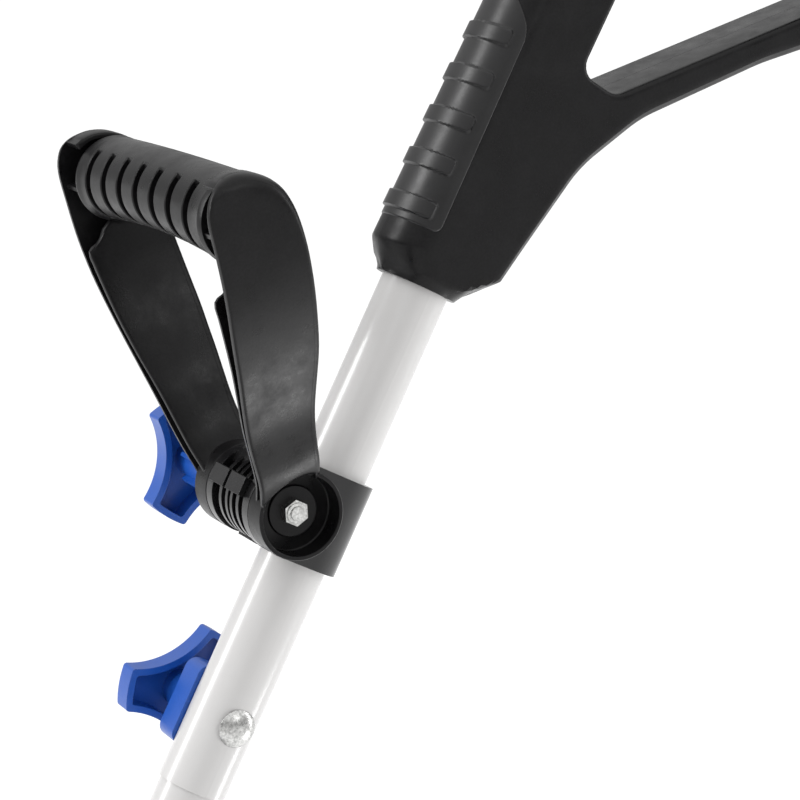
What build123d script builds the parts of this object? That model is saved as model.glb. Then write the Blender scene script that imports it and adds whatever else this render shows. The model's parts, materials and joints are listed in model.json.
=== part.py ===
from build123d import *
import os
from math import asin, cos, degrees, hypot, radians, sin, tan

# Corded electric snow shovel: a powered scoop on a leaning two-piece pole, with a sliding,
# tilting assist handle and a closed-loop rear handle.
# Millimetres. Origin: middle of the flat sole, on the ground. -Y is the open mouth, +Z up,
# +X the user's left. Parts on the pole are drawn upright in the pole's own frame, where the
# origin is the assist-handle clamp, +Z runs up the pole and -Y faces the front, and
# on_pole() then leans them.

# ---- driving dimensions: scoop and rotor ----
scoop_half = 160.0            # half of the outer width of the scoop
wall = 4.0                    # scoop wall
rotor_y, rotor_z = -85.0, 85.0
rotor_r = 70.0                # paddle tips
scoop_r = 80.0                # inside of the curved back wall
sole_front, sole_mid, sole_rear = -100.0, 20.0, 112.0
lip_front = -136.0
shaft_r = 6.0
bearing_r, bearing_w = 14.0, 8.0
core_r = 16.0
run_gap = 0.05                # radial clearance of a turning or sliding fit
part_gap = 0.3                # space between parts that move past each other

# ---- driving dimensions: motor and belt drive ----
motor_y, motor_z = 28.0, 122.0
motor_r, motor_x0, motor_x1 = 29.0, 62.0, 146.0
motor_shaft_r = 4.0
motor_screw_ring = 15.5       # radius of the motor's screw circle
big_pulley_r, small_pulley_r = 33.0, 11.0
belt_x, belt_w, belt_t = 168.0, 11.0, 3.5
cover_depth = 30.0
shell = 3.0                   # wall of the black mouldings
cover_x0, cover_x1 = -112.0, 155.5
cover_split_z = 70.0

# ---- driving dimensions: pole ----
pole_angle = 62.5             # lean above the ground
pole_y, pole_z = 105.0, 150.0  # where the pole leaves the head
clamp_up = 586.0              # clamp centre, measured up the pole from there
tube_r, tube_wall = 15.0, 0.95
inner_tube_r = 14.0
seam_s, inner_top_s = -126.0, -66.0
upper_top_s = 170.0
pole_sunk = 85.0              # length of pole inside the head
bolt_s = -94.0                # bolt that joins the two tubes
bolt_r = 2.95
socket_r = 21.0
cable_r, cable_n = 3.2, 8.0   # inner lead, and how far it runs behind the pole axis

# ---- driving dimensions: knobs and clamp ----
knob_r, knob_end, knob_waist = 29.5, 19.0, 16.8   # lobe radius, half angle of a lobe, waist
knob_h, knob_wall = 12.0, 3.0
joint_knob_x, assist_knob_x = -36.0, -69.5
hub_n = 23.5                  # pivot of the assist handle, in front of the pole axis
hub_r = 19.1
clamp_half, clamp_r, collar_r = 20.7, 19.0, 18.9
hub_x0, hub_x1 = 21.0, 33.0
clamp_low, clamp_high = -20.0, 21.0
clamp_front = 19.0            # how far the collar reaches in front of the pole axis
cup_floor, cup_wall = 23.0, 1.8

# ---- driving dimensions: assist handle ----
arm_angle = 47.4              # lean of the arms in front of the pole
bar_t, bar_b = 135.8, -7.2    # crossbar centre, along an arm and towards its front edge
grip_half, grip_r, grip_bow = 66.0, 17.2, 2.7
grip_slots, slot_pitch, slot_w, slot_depth = 7, 16.8, 5.0, 4.5
slot_turn, slot_flat = 79.5, 8.9   # facing of the slots from the arm line, and their start
arm_wall = 2.6

# ---- driving dimensions: rear handle ----
handle_half = 20.0
handle_round = 8.0
loop_round = 4.5
ferrule_s = 107.5
panel_s0, panel_s1, panel_n = 129.0, 240.0, 10.5
ridge_pitch, ridge_w, ridge_up = 19.8, 7.5, 1.2
trigger_s, trigger_n = 352.0, -44.0
screw_r = 2.2

lean = radians(pole_angle)
hub_y = pole_y + clamp_up * cos(lean)
hub_z = pole_z + clamp_up * sin(lean)
pole_place = Location((0, hub_y, hub_z), (pole_angle - 90, 0, 0))
nodes = {}


def on_pole(solid):
    """Lean a part from the pole's own frame into the machine's frame."""
    return pole_place * solid


def sn(s, n):
    """Point on a side-view sketch: s up the pole, n out to its front."""
    return (-n, s)


def side(face, x0, x1):
    """Solid with a side-view face between two X planes."""
    return extrude(Plane.YZ.offset(x0) * face, amount=x1 - x0, dir=(1, 0, 0))


def rod_x(r, x0, x1, y=0.0, z=0.0):
    """Round bar along X."""
    return Pos((x0 + x1) / 2, y, z) * (Rot(0, 90, 0) * Cylinder(r, x1 - x0))


def block(x0, x1, y0, y1, z0, z1):
    """Rectangular block between its corners."""
    middle = Pos((x0 + x1) / 2, (y0 + y1) / 2, (z0 + z1) / 2)
    return middle * Box(x1 - x0, y1 - y0, z1 - z0)


def hex_x(across, x0, x1, y=0.0, z=0.0):
    """Hexagon bar along X, measured across its flats."""
    return Pos(0, y, z) * side(RegularPolygon(across / 2, 6, major_radius=False), x0, x1)


def outline(points, radii):
    """Closed side-view face with one corner radius for each point."""
    line = FilletPolyline(*points, radius=radii, close=True)
    return make_face(line)


def keep(name, solid):
    """Record one node of the assembly."""
    nodes[name] = solid


# ---------------------------------------------------------------- scoop
def scoop_profile():
    """Side plate of the scoop, with the lobe that carries the motor."""
    back = Pos(rotor_y, rotor_z) * Circle(scoop_r + 2 * wall)
    front = Polygon((-85, 0), (-148, 0), (-166, 18), (-166, 60), (-132, 150), (-122, 174),
                    (-85, 173), align=None)
    plate = back + front
    return plate - Pos(rotor_y, -100) * Rectangle(400, 200)


def scoop_housing():
    inside = scoop_half - wall
    ring = Circle(scoop_r + wall) - Circle(scoop_r)
    ring -= Polygon((-200, -200), (0, -200), (0, 200), (-200, 200), align=None)
    body = side(Pos(rotor_y, rotor_z) * ring, -inside, inside)
    hood = Polygon((rotor_y, 165), (rotor_y, 169), (-123, 175), (-123, 171), align=None)
    body += side(hood, -inside, inside)
    body += block(-inside, inside, sole_front, sole_mid, 0, 5)
    body += block(-inside, inside, lip_front, sole_front + 2, 4, 8.5)
    body += side(scoop_profile(), -scoop_half, -inside)
    motor_lobe = Pos(motor_y, motor_z) * Circle(34)
    web = make_hull((motor_lobe.edges() + (Pos(rotor_y, rotor_z) * Circle(60)).edges()))
    body += side(scoop_profile() + web, inside, scoop_half)
    for x in (-145, -125):
        rib = Circle(scoop_r + wall + 5) - Circle(scoop_r + wall - 1)
        rib -= Polygon((-200, -200), (20, -200), (20, 200), (-200, 200), align=None)
        rib -= Polygon((-200, -200), (200, -200), (200, -20), (-200, -20), align=None)
        body += side(Pos(rotor_y, rotor_z) * rib, x - 1.5, x + 1.5)
    for x in (-105, -35, 35, 105):
        body += block(x - 1.5, x + 1.5, -122, rotor_y, 158.5, 167)
    for side_x in (-1, 1):
        inner, outer = side_x * (inside - 6), side_x * (scoop_half + 2)
        body += rod_x(20, min(inner, outer), max(inner, outer), rotor_y, rotor_z)
    body -= rod_x(shaft_r + 3, -200, 200, rotor_y, rotor_z)
    for side_x in (-1, 1):
        inner, outer = side_x * (inside - 3), side_x * (scoop_half + 3)
        body -= rod_x(bearing_r + run_gap, min(inner, outer), max(inner, outer), rotor_y, rotor_z)
    body -= rod_x(11, 150, 165, motor_y, motor_z)
    for angle in (90, 210, 330):
        y = motor_y + motor_screw_ring * cos(radians(angle))
        z = motor_z + motor_screw_ring * sin(radians(angle))
        body -= rod_x(2.3, 150, 165, y, z)
    for x in (-110, 0, 110):
        body -= Pos(x, -125, 6) * Cylinder(2.3, 10)
    for y, z in belt_screw_places():
        body -= rod_x(1.6, 150, 165, y, z)
    return body


def belt_screw_places():
    """Screws of the belt cover, round its rim."""
    across = (motor_z - rotor_z, rotor_y - motor_y)
    span = hypot(*across)
    places = [(rotor_y - 51.5, rotor_z), (rotor_y, rotor_z - 51.5), (rotor_y, rotor_z + 51.5)]
    for way in (-1, 1):
        places.append((motor_y + way * 31 * across[0] / span, motor_z + way * 31 * across[1] / span))
    return places


def scraper_bar():
    bar = Polygon((-158, 0), (sole_front - 0.2, 0), (sole_front - 0.2, 3.9), (-150, 3.9),
                  align=None)
    solid = side(bar, -150, 150)
    for x in (-110, 0, 110):
        solid -= Pos(x, -125, 2) * Cylinder(2.3, 10)
    return solid


def scraper_screws():
    screws = []
    for x in (-110, 0, 110):
        head = Pos(x, -125, 10) * Cylinder(4.5, 3)
        screws.append(head + Pos(x, -125, 5.2) * Cylinder(2.2, 8))
    return Compound(children=screws)


# ---------------------------------------------------------------- rotor
def rotor_shaft():
    shaft = rod_x(shaft_r - run_gap, -163, 184, rotor_y, rotor_z)
    flat = block(belt_x - 2, 185, rotor_y - 6, rotor_y + 6, rotor_z + 5, rotor_z + 7)
    return shaft - flat


def rotor_core():
    core = rod_x(core_r, -144, 144, rotor_y, rotor_z)
    for x in (-144, -4, 4, 140):
        core += rod_x(26, x, x + 4 if x != -4 else 0, rotor_y, rotor_z)
    return core - rod_x(shaft_r - run_gap, -150, 150, rotor_y, rotor_z)


def paddle_profile():
    """Section of a blade: a root tongue and a forward-curved face."""
    tip_front = (rotor_r * cos(radians(20)), rotor_r * sin(radians(20)))
    tip_back = ((rotor_r - 3) * cos(radians(24)), (rotor_r - 3) * sin(radians(24)))
    front = ThreePointArc((core_r, -2.5), (44, 8), tip_front)
    back = ThreePointArc(tip_back, (41, 13), (core_r, 2.5))
    root = Line((core_r, 2.5), (core_r, -2.5))
    return make_face([front, Line(tip_front, tip_back), back, root])


def paddle(x0, x1, angle, twist):
    """One skewed blade of the rotor, lofted through evenly turned sections."""
    steps = 4
    sections = []
    for i in range(steps + 1):
        plane = Plane.YZ.offset(x0 + (x1 - x0) * i / steps)
        sections.append(plane * (Rot(0, 0, angle + twist * i / steps) * paddle_profile()))
    blade = loft(sections) - rod_x(core_r + run_gap, -200, 200)
    return Pos(0, rotor_y, rotor_z) * blade


def paddle_screws():
    """Cap screws that hold the blade roots to the core discs."""
    screws = []
    for x, turn in ((-139.5, 90), (-4.5, 90), (8.5, 0), (139.5, 0)):
        for flip in (0, 180):
            y = rotor_y + 21 * cos(radians(turn + flip + 60))
            z = rotor_z + 21 * sin(radians(turn + flip + 60))
            screws.append(rod_x(3, x - 1.5, x + 0.5 if x > 0 else x - 0.5, y, z))
    return Compound(children=screws)


def bearing(x_mid):
    """Sealed ball bearing, drawn as one ring with grooved shields."""
    x0, x1 = x_mid - bearing_w / 2, x_mid + bearing_w / 2
    ring = rod_x(bearing_r, x0, x1, rotor_y, rotor_z) - rod_x(shaft_r, x0 - 1, x1 + 1, rotor_y, rotor_z)
    groove = rod_x(bearing_r - 2.5, x1 - 0.6, x1 + 1, rotor_y, rotor_z)
    groove -= rod_x(shaft_r + 2.2, x1 - 1, x1 + 1, rotor_y, rotor_z)
    return ring - groove


def bearing_cap():
    cap = rod_x(20, -168, -162.1, rotor_y, rotor_z) - rod_x(bearing_r, -165, -162, rotor_y, rotor_z)
    for angle in (45, 165, 285):
        y = rotor_y + 17 * cos(radians(angle))
        z = rotor_z + 17 * sin(radians(angle))
        cap += rod_x(2.6, -169.5, -168, y, z)
    return cap


# ---------------------------------------------------------------- belt drive and motor
def pulley(r, bore, y, z):
    """Ribbed belt pulley with side flanges."""
    half = belt_w / 2
    points = [(0, -half - 2), (r + 3, -half - 2), (r + 3, -half - 0.6), (r, -half - 0.6)]
    ribs = 5
    pitch = (belt_w + 1.2) / ribs
    for i in range(ribs):
        low = -half - 0.6 + i * pitch
        points.append((r - 1.6, low + pitch / 2))
        points.append((r, low + pitch))
    points += [(r + 3, half + 0.6), (r + 3, half + 2), (0, half + 2)]
    section = Plane.XZ * Polygon(*points, align=None)
    wheel = revolve(section, Axis.Z)
    wheel = Pos(belt_x + 6, y, z) * (Rot(0, 90, 0) * wheel)
    return wheel - rod_x(bore, 150, 200, y, z)


def rotor_pulley():
    wheel = pulley(big_pulley_r, shaft_r - run_gap, rotor_y, rotor_z)
    for i in range(5):
        y = rotor_y + 20 * cos(radians(72 * i))
        z = rotor_z + 20 * sin(radians(72 * i))
        wheel -= rod_x(6, 150, 200, y, z)
    return wheel


def loop_face(grow):
    """Outline of a loop round both pulleys, a given distance outside them."""
    big = Pos(rotor_y, rotor_z) * Circle(big_pulley_r + grow)
    small = Pos(motor_y, motor_z) * Circle(small_pulley_r + grow)
    return make_hull(big.edges() + small.edges())


def drive_belt():
    band = loop_face(part_gap + belt_t) - loop_face(part_gap)
    return side(band, belt_x + 6 - belt_w / 2, belt_x + 6 + belt_w / 2)


def belt_cover():
    x1 = scoop_half + cover_depth
    cover = fillet(side(loop_face(13), scoop_half + 0.1, x1).faces().sort_by(Axis.X)[-1].edges(), 6)
    cover -= side(loop_face(9), scoop_half, x1 - shell)
    ridge = side(loop_face(2) - loop_face(-4), x1 - 1, x1 + 1.2)
    cover += ridge
    for y, z in belt_screw_places():
        tab = rod_x(6.5, scoop_half + 0.1, scoop_half + 5, y, z)
        cover += tab - side(loop_face(9), scoop_half, x1 - shell)
    for y, z in belt_screw_places():
        cover -= rod_x(1.8, scoop_half - 1, scoop_half + 40, y, z)
    return cover


def belt_cover_screws():
    screws = []
    for y, z in belt_screw_places():
        head = rod_x(3.6, scoop_half + 5, scoop_half + 7.5, y, z)
        screws.append(head + rod_x(1.55, scoop_half - 3, scoop_half + 5, y, z))
    return Compound(children=screws)


def motor_can():
    can = rod_x(motor_r, motor_x0 + 6, motor_x1, motor_y, motor_z)
    can += rod_x(motor_r - 4, motor_x0, motor_x0 + 6, motor_y, motor_z)
    can += rod_x(10, motor_x0 - 5, motor_x0, motor_y, motor_z)
    can += rod_x(10.5, motor_x1, motor_x1 + 12, motor_y, motor_z)
    for angle in (90, 210, 330):
        y = motor_y + motor_screw_ring * cos(radians(angle))
        z = motor_z + motor_screw_ring * sin(radians(angle))
        can += rod_x(4, motor_x1, scoop_half - wall, y, z)
        can -= rod_x(2.2, motor_x1 - 6, 170, y, z)
    for angle in range(0, 360, 45):
        y = motor_y + (motor_r - 5) * cos(radians(angle))
        z = motor_z + (motor_r - 5) * sin(radians(angle))
        can -= rod_x(2.2, motor_x0 - 1, motor_x0 + 10, y, z)
    return can - rod_x(motor_shaft_r + run_gap, 0, 200, motor_y, motor_z)


def motor_screws():
    screws = []
    for angle in (90, 210, 330):
        y = motor_y + motor_screw_ring * cos(radians(angle))
        z = motor_z + motor_screw_ring * sin(radians(angle))
        screws.append(rod_x(2.2, 142, 160, y, z) + rod_x(3.2, 160, 162.5, y, z))
    return Compound(children=screws)


def motor_fan():
    fan = rod_x(8, 26, 44, motor_y, motor_z) + rod_x(28, 26, 28, motor_y, motor_z)
    for i in range(9):
        vane = Pos(0, 17, 0) * Box(14, 21, 1.6)
        vane = Pos(35, motor_y, motor_z) * (Rot(40 * i, 0, 0) * vane)
        fan += vane
    return fan - rod_x(motor_shaft_r, 0, 60, motor_y, motor_z)


# ---------------------------------------------------------------- black housing of the head
def head_outline(inset):
    """Side view of the motor housing, front edge hidden behind the scoop wall."""
    points = [(sole_mid + 0.3, 0), (sole_rear - 4, 0), (124, 16), (130, 80), (120, 146),
              (96, 182), (40, 194), (-20, 190), (-74, 171), (-70, 90)]
    radii = [0.5, 8, 20, 30, 30, 30, 40, 40, 3, 3]
    face = outline(points, radii)
    if inset:
        face = offset(face, amount=-inset)
    return face


def head_shell():
    """Both black housings as one hollow body, before they are split."""
    body = side(head_outline(0), cover_x0, cover_x1)
    ends = body.faces().sort_by(Axis.X)
    body = fillet(ends[0].edges() + ends[-1].edges(), 7)
    body -= side(head_outline(shell), cover_x0 + shell, cover_x1 - shell)
    body -= rod_x(22, cover_x1 - 5, cover_x1 + 5, motor_y, motor_z)
    scoop_bore = scoop_r + wall + 0.2
    body -= rod_x(scoop_bore, -200, 200, rotor_y, rotor_z)
    body -= block(-200, 200, -200, sole_mid + 0.2, -1, 5.2)
    body -= on_pole(Pos(0, 0, -clamp_up) * Cylinder(socket_r + 1.8, 300))
    return body


def pole_slot_free(body):
    """Cooling slots in the rear and in the free end of the upper cover."""
    for i in range(7):
        body -= block(cover_x0 - 5, cover_x0 + 8, -30 + 16 * i, -23 + 16 * i, 118, 168)
    for i in range(5):
        for side_x in (-1, 1):
            x = side_x * (42 + 12 * i)
            body -= block(x - 3, x + 3, 95, 140, 88, 150)
    return body


def motor_cover():
    above = block(-200, 200, -200, 200, cover_split_z, 260)
    cover = pole_slot_free(head_shell() & above)
    band = side(head_outline(-1.0) - head_outline(0.2), cover_x0 + 10, cover_x0 + 16)
    cover += band & above & block(-200, 200, -60, 200, 100, 260)
    return cover


def motor_base():
    base = head_shell() & block(-200, 200, -200, 200, -10, cover_split_z - 0.1)
    for x, y in cover_screw_places():
        post = Pos(x, y, (cover_split_z - 2) / 2) * Cylinder(6, cover_split_z - 2)
        base += post - Pos(x, y, cover_split_z - 10) * Cylinder(1.7, 30)
    return base


def cover_screw_places():
    """Screws that pull the two black housings together, from below."""
    return [(-96, 100), (-96, 45), (96, 100), (140, 45)]


def cover_screws():
    screws = []
    for x, y in cover_screw_places():
        screws.append(Pos(x, y, cover_split_z - 12) * Cylinder(1.65, 26))
    return Compound(children=screws)


def pole_socket():
    """Ribbed tube that holds the foot of the pole, with its cross-bolt boss."""
    low, high = -clamp_up - pole_sunk - 4, -clamp_up + 26
    body = Pos(0, 0, (low + high) / 2) * Cylinder(socket_r, high - low)
    body = fillet(body.edges().sort_by(Axis.Z)[-1:], 3)
    body += Pos(0, 0, -clamp_up + 16) * Cylinder(socket_r + 1.5, 5)
    bore = Pos(0, 0, (low + high) / 2 + 4) * Cylinder(inner_tube_r + run_gap, high - low)
    body -= bore
    body -= Pos(0, 0, low) * Cylinder(12.5, 20)
    body -= rod_x(3.1, -60, 60, 0, -clamp_up - 50)
    return on_pole(body)


def socket_bolt():
    z = -clamp_up - 50
    bolt = rod_x(bolt_r, -socket_r - 7, socket_r + 1, 0, z)
    return on_pole(bolt + hex_x(10, socket_r + 0.1, socket_r + 4, 0, z))


def socket_nut():
    z = -clamp_up - 50
    nut = hex_x(10, -socket_r - 5.5, -socket_r - 0.1, 0, z)
    return on_pole(nut - rod_x(bolt_r + 0.02, -60, 0, 0, z))


# ---------------------------------------------------------------- pole
def tube(outer, thick, low, high):
    return Pos(0, 0, (low + high) / 2) * (Cylinder(outer, high - low) - Cylinder(outer - thick, high - low))


def upper_tube():
    body = tube(tube_r, tube_wall, seam_s, upper_top_s)
    return on_pole(body - rod_x(3.1, -20, 20, 0, bolt_s))


def lower_tube():
    body = tube(inner_tube_r, 1.0, -clamp_up - pole_sunk, inner_top_s)
    body -= rod_x(3.1, -20, 20, 0, bolt_s)
    body -= rod_x(3.1, -20, 20, 0, -clamp_up - 50)
    return on_pole(body)


def joint_bolt():
    """Domed carriage bolt; the head bears on the left side of the pole."""
    head_r, head_h = 8.25, 3.4
    ball_r = (head_r ** 2 + head_h ** 2) / (2 * head_h)
    half_turn = asin(head_r / ball_r) / 2
    foot, top = tube_r + run_gap, tube_r + run_gap + head_h
    middle = (top - ball_r + ball_r * cos(half_turn), ball_r * sin(half_turn))
    crown = ThreePointArc((foot, head_r), middle, (top, 0))
    section = make_face([Line((foot, 0), (foot, head_r)), crown, Line((top, 0), (foot, 0))])
    dome = Pos(0, 0, bolt_s) * revolve(section, Axis.X)
    return on_pole(dome + rod_x(bolt_r, joint_knob_x - 9, tube_r + 1, 0, bolt_s))


def joint_saddle():
    """Block that fits the tube's side and spaces the knob from it."""
    face = RectangleRounded(30, 36, 5)
    plate = Pos(0, 0, bolt_s) * side(face, -21.5, -8)
    body = plate + rod_x(10.5, joint_knob_x + 0.5, -20, 0, bolt_s)
    body -= Cylinder(tube_r + run_gap, 600)
    return on_pole(body - rod_x(3.1, -60, 0, 0, bolt_s))


def easy_radii(points):
    """Corner radii as large as the runs beside each corner allow."""
    radii = []
    for before, corner, after in zip(points, points[1:], points[2:]):
        first, second = Vector(corner) - Vector(before), Vector(after) - Vector(corner)
        half_turn = radians(first.get_angle(second)) / 2
        radii.append(0.45 * min(first.length, second.length) / tan(half_turn))
    return radii


def inner_cable():
    """Two-core lead held inside the handle, pole and head, from switch to motor."""
    upper = [sn(377, -69.9), sn(377.5, -20), sn(352, -4), sn(300, 5), sn(240, 3), sn(190, -cable_n + 1),
             sn(130, -cable_n),
             sn(-clamp_up - pole_sunk - 8, -cable_n - 0.5)]
    points = [(pole_place * Pos(0, *p)).position for p in upper]
    points += [Vector(x, y, z) for x, y, z in ((12, 52, 44), (50, 40, 40), (84, 30, 56))]
    points.append(Vector(86, motor_y, motor_z - motor_r - 0.2))
    path = FilletPolyline(*points, radius=easy_radii(points))
    section = Plane(origin=path @ 0, z_dir=path % 0) * Circle(cable_r)
    return sweep(section, path=path)


# ---------------------------------------------------------------- three-lobed knob
def knob_face(inset):
    """Plan of the knob, a given distance inside its rim."""
    r, waist = knob_r - inset, knob_waist - inset
    half_end = degrees(asin((knob_r * sin(radians(knob_end)) - inset) / r))
    edges = []

    def polar(radius, angle):
        return (radius * cos(radians(angle)), radius * sin(radians(angle)))

    for lobe in (0, 120, 240):
        edges.append(ThreePointArc(polar(r, lobe - half_end), polar(r - 0.6, lobe),
                                   polar(r, lobe + half_end)))
        edges.append(ThreePointArc(polar(r, lobe + half_end), polar(waist, lobe + 60),
                                   polar(r, lobe + 120 - half_end)))
    return fillet(make_face(edges).vertices(), 1.5)


def knob(pocket_low, pocket_high, turn):
    """Hollow star knob, open towards the pole, with a hexagon pocket in its hub."""
    body = extrude(knob_face(0), amount=knob_h)
    body = fillet(body.faces().sort_by(Axis.Z)[-1].edges(), 2.0)
    body -= extrude(knob_face(knob_wall), amount=knob_h - knob_wall)
    body += Pos(0, 0, (knob_h - 1) / 2) * Cylinder(8.5, knob_h - 1)
    body -= Pos(0, 0, knob_h / 2 - 2) * Cylinder(3.1, knob_h)
    pocket = extrude(RegularPolygon(5.1, 6, major_radius=False), amount=pocket_high - pocket_low)
    return body - Pos(0, 0, pocket_low) * (Rot(0, 0, 90 - turn) * pocket)


def knob_place(x, y, z, turn):
    """Turn a knob so that it faces away from the pole on the right side."""
    return Location((x, y, z), (0, -90, 0)) * Location((0, 0, 0), (0, 0, turn))


def joint_knob():
    turn = 14
    return on_pole(knob_place(joint_knob_x, 0, bolt_s, turn) * knob(-1, 5.2, turn))


def joint_knob_nut():
    nut = hex_x(10, joint_knob_x - 5, joint_knob_x - 0.1, 0, bolt_s)
    nut -= rod_x(bolt_r + run_gap, -60, 0, 0, bolt_s)
    return on_pole(nut)


def assist_knob():
    turn = -52
    return on_pole(knob_place(assist_knob_x, -hub_n, 0, turn) * knob(4.8, 9.2, turn))


# ---------------------------------------------------------------- clamp and pivot
def clamp_body():
    """Split collar on the pole, with two ribbed ears for the assist handle."""
    wrap = Circle(collar_r) + Pos(0, -clamp_front / 2) * Rectangle(2 * collar_r, clamp_front)
    collar = Pos(0, 0, clamp_low) * extrude(wrap, amount=clamp_high - clamp_low)
    body = collar & block(-30, 30, -clamp_front, 30, -40, 40)
    for x0, x1 in ((-clamp_half, -15.2), (15.2, clamp_half)):
        body += rod_x(clamp_r, x0, x1, -hub_n, 0)
    for x0, x1 in ((-9.7, -7.2), (7.2, 9.7), (-3.4, -1.2), (1.2, 3.4)):
        body += rod_x(clamp_r - 0.8, x0, x1, -hub_n, 0)
    body += rod_x(9, -16, 16, -hub_n, 0)
    stays = block(-16, 16, -hub_n - 2, -hub_n + 12, -16, 16)
    stays += block(-16, 16, -hub_n - 14, -hub_n + 2, 8, 14.5)
    stays += block(-15, 15, -hub_n - clamp_r - 2.5, -hub_n, -3, 5)
    body += stays
    body -= Cylinder(tube_r + run_gap, 100)
    body -= block(-1.2, 1.2, -60, -10, -40, 40)
    return on_pole(body - rod_x(3.1, -60, 60, -hub_n, 0))


def pivot_bolt():
    """Bolt captured in the assist knob; it draws the ears and hubs together."""
    shank = rod_x(bolt_r, assist_knob_x - 5, cup_floor + 6.2, -hub_n, 0)
    head = hex_x(10, assist_knob_x - 9, assist_knob_x - 5, -hub_n, 0)
    return on_pole(shank + head)


def pivot_nut():
    seat = cup_floor + 1.6
    nut = hex_x(10, seat, seat + 3.4, -hub_n, 0) + rod_x(4.4, seat + 3.3, seat + 4, -hub_n, 0)
    nut -= rod_x(bolt_r + run_gap, 0, 60, -hub_n, 0)
    return on_pole(nut)


def assist_spacer():
    """Blue sleeve between the right hub and its knob."""
    body = rod_x(9.5, assist_knob_x + part_gap, -cup_floor - 1.6, -hub_n, 0)
    for turn in range(0, 360, 60):
        fin = Pos((assist_knob_x - 34) / 2, 0, 0) * Box(30, 24, 2)
        fin = Pos(0, -hub_n, 0) * (Rot(turn, 0, 0) * fin)
        body += fin
    return on_pole(body - rod_x(3.1, -90, 0, -hub_n, 0))


# ---------------------------------------------------------------- assist handle
arm_place = Location((0, -hub_n, 0), (arm_angle, 0, 0))


def arm_face(inset):
    """Broad side of an arm, a given distance inside its edge.

    t runs from the pivot to the crossbar, b towards the front edge.
    """
    front_end, back_end = (-10.5 + inset, 147 - inset), (20 - inset, 149 - inset)
    front_edge = [(-15, 4), (-15.8, 40), (-15.6, 80), (-14.4, 112), (-13, 130)]
    back_edge = [(24.8, 134), (22.9, 100), (21, 75), (15.5, 45), (13, 4)]
    front_edge = [(b + inset, t) for b, t in front_edge]
    back_edge = [(b - inset, t) for b, t in back_edge]
    front = Spline(*front_edge, front_end)
    end = ThreePointArc(front_end, (4, 157.2 - inset), back_end)
    back = Spline(back_end, *back_edge)
    return make_face([front, end, back, Line(back_edge[-1], front_edge[0])])


def flare_face(inset, low, high):
    """Edge view of an arm: narrow at the hub, spread and thicker at the crossbar."""
    stations = [(-4, hub_x0, hub_x1), (10, hub_x0 + 2.5, hub_x1 + 1), (24, 33, 42),
                (48, 41.5, 50), (80, 56.5, 65.5), (108, 63.3, 76.5), (130, 64.8, 79.6), (170, 65, 80)]
    inner = [(x + inset, t) for t, x, _ in stations]
    outer = [(x - inset, t) for t, _, x in stations]
    lines = [Spline(*inner), Line(inner[-1], outer[-1]), Spline(*reversed(outer)),
             Line(outer[0], inner[0])]
    face = make_face(lines)
    return face & Pos(50, (low + high) / 2) * Rectangle(120, high - low)


def arm_solid():
    """Left arm as a channel that is open along its front edge, with cross ribs."""
    broad = Plane.YZ * arm_face(0)
    body = extrude(broad, amount=100)
    flare = extrude(Plane.XZ * flare_face(0, -4, 170), amount=60, both=True)
    body &= flare
    pocket = extrude(Plane.XZ * flare_face(arm_wall, 21, 152), amount=60, both=True)
    pocket &= extrude(Plane.YZ * (arm_face(arm_wall) + Pos(-20, 85) * Rectangle(34, 126)), amount=100)
    pocket += block(60, 70, -30, -8, 112, 147)
    for t in (47, 137):
        pocket -= block(0, 100, -9, 40, t - 1.2, t + 1.2)
    return (body - pocket) & block(hub_x0, 100, -60, 60, -60, 200)


def crossbar():
    """Bowed grip with finger slots on its upper front side."""
    ends = (-grip_half, 0, 0), (grip_half, 0, 0)
    path = ThreePointArc(ends[0], (0, 0, grip_bow), ends[1])
    bar = sweep(Plane(origin=path @ 0, z_dir=path % 0) * Circle(grip_r), path=path)
    facing = Rot(slot_turn, 0, 0) * block(-80, 80, -30, 30, slot_flat, 30)
    for i in range(grip_slots):
        x = (i - (grip_slots - 1) / 2) * slot_pitch
        ring = rod_x(30, x - slot_w / 2, x + slot_w / 2) - rod_x(grip_r - slot_depth, x - 5, x + 5)
        bar -= ring & facing
    return Pos(0, -bar_b, bar_t) * bar


def assist_handle():
    """Both arms with their hub cups, and the crossbar between them."""
    left = arm_solid() + rod_x(hub_r, hub_x0, hub_x1)
    left -= rod_x(hub_r - cup_wall, cup_floor, 90) & block(cup_floor, 90, -30, 30, -30, 12)
    left += rod_x(11, cup_floor - 0.5, cup_floor + 1.5)
    body = left + mirror(left, about=Plane.YZ) + crossbar()
    body -= rod_x(3.1, -60, 60)
    return on_pole(arm_place * body)


# ---------------------------------------------------------------- rear handle
def handle_face(grow):
    """Side view of the loop handle, grown outwards by a given distance."""
    points = [sn(ferrule_s, 18), sn(119, 25.8), sn(230, 22.5), sn(318, 21.5), sn(384, 6),
              sn(387, -100), sn(384, -204), sn(340, -212), sn(300, -150), sn(262, -106),
              sn(214, -59.6), sn(183, -41.6), sn(140, -32), sn(123.5, -28.5), sn(ferrule_s, -18)]
    radii = [1, 8, 60, 50, 26, 200, 18, 14, 120, 120, 60, 60, 20, 6, 1]
    face = outline(points, radii)
    if grow:
        face = offset(face, amount=grow)
    return face


def loop_opening(grow):
    """Space for the hand."""
    points = [sn(219, -21.5), sn(340, -24), sn(347, -174), sn(217.5, -41.5)]
    face = outline(points, [7, 14, 9, 9])
    if grow:
        face = offset(face, amount=grow)
    return face


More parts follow.
